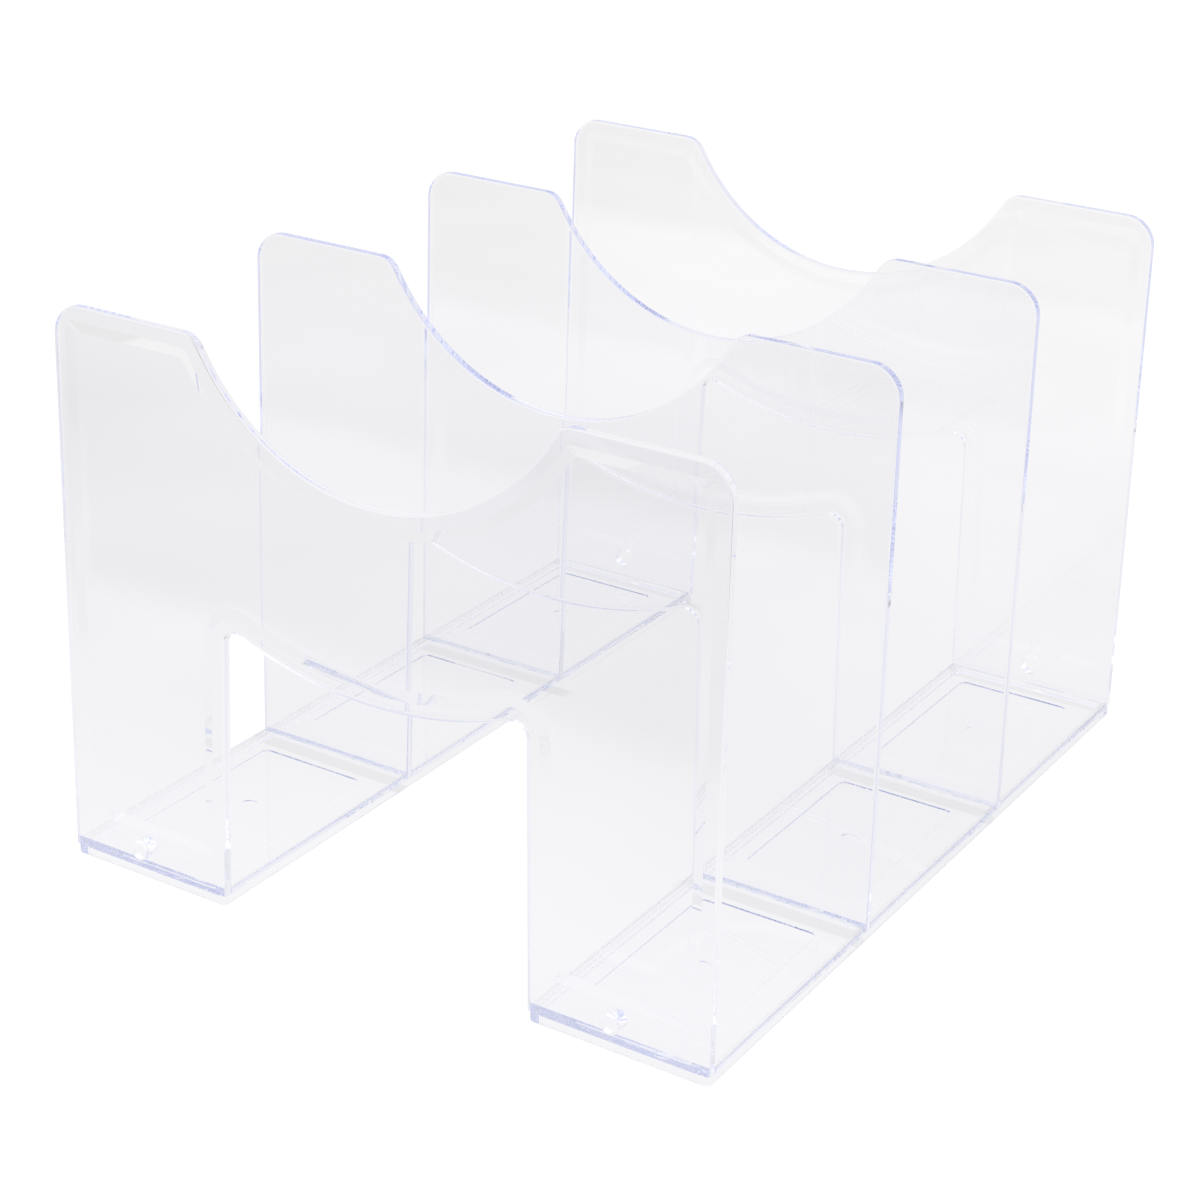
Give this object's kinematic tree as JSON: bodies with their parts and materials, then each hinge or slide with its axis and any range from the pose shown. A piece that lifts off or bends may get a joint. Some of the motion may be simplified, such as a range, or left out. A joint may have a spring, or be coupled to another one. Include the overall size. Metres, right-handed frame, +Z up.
{
  "type": "magazine rack",
  "caption": "Clear plastic rack: upright H-shaped panels with scooped tops and arched feet stand across two side rails to hold magazines upright.",
  "frame": {"origin": "centre of the footprint, link studs included, on the surface the rack stands on", "axes": "+X along the panels' width, +Y from the front panel with the studs to the back panel with the holes, +Z up"},
  "size_m": [0.28, 0.3494, 0.2213],
  "materials": {
    "end_panel_plastic": "colourless transparent moulded plastic with a faint blue-violet cast, polished, with a stepped frame in the outer face",
    "divider_plastic": "colourless transparent moulded plastic with a faint blue-violet cast, polished and plain",
    "rail_plastic": "colourless transparent moulded plastic with a faint blue-violet cast, polished, cut edges glowing blue-violet"
  },
  "bodies": {
    "root": {"front_panel": "end_panel_plastic", "back_panel": "end_panel_plastic", "divider_1": "divider_plastic", "divider_2": "divider_plastic", "left_rail": "rail_plastic", "right_rail": "rail_plastic"}
  },
  "joints": []
}
